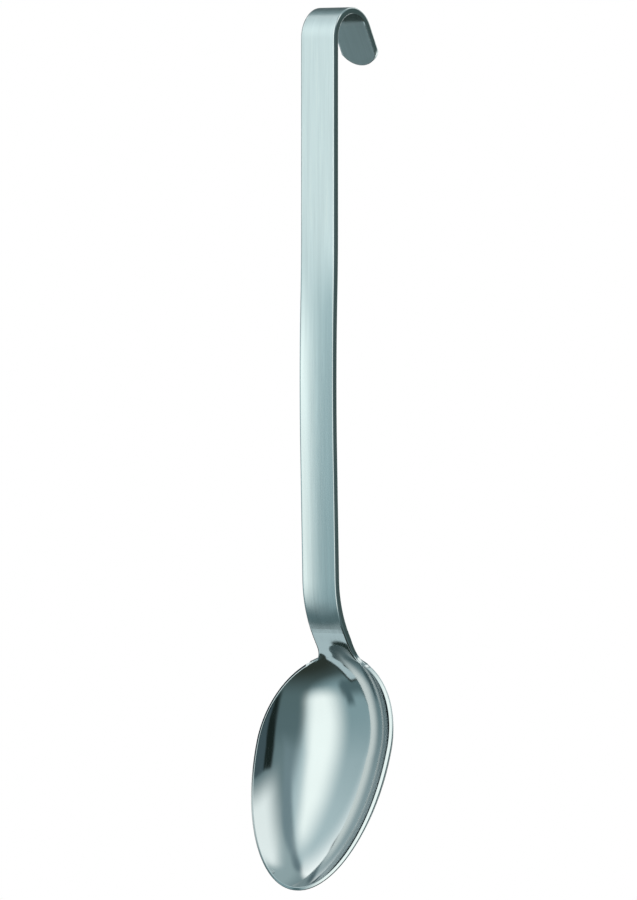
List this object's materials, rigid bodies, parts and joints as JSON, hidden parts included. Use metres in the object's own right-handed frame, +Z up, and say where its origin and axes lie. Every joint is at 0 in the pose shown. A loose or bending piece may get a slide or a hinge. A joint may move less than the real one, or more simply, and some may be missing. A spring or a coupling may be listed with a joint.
{
  "type": "serving spoon",
  "caption": "Long stainless steel serving spoon with an egg-shaped polished bowl, a flat brushed handle and a hook for a hanging rail.",
  "frame": {"origin": "centre of the hook's inner bend, where the rail that the spoon hangs from has its axis", "axes": "+Z up along the hanging handle, +X across the bar along the rail, -Y towards the bowl's open face"},
  "size_m": [0.0622, 0.0417, 0.3189],
  "materials": {
    "brushed_stainless": "18/10 stainless steel, fine satin grinding along the bar",
    "polished_stainless": "18/10 stainless steel, mirror polished and not plated"
  },
  "bodies": {
    "root": {"handle": "brushed_stainless", "neck_weld": "polished_stainless", "bowl": "polished_stainless"}
  },
  "joints": []
}
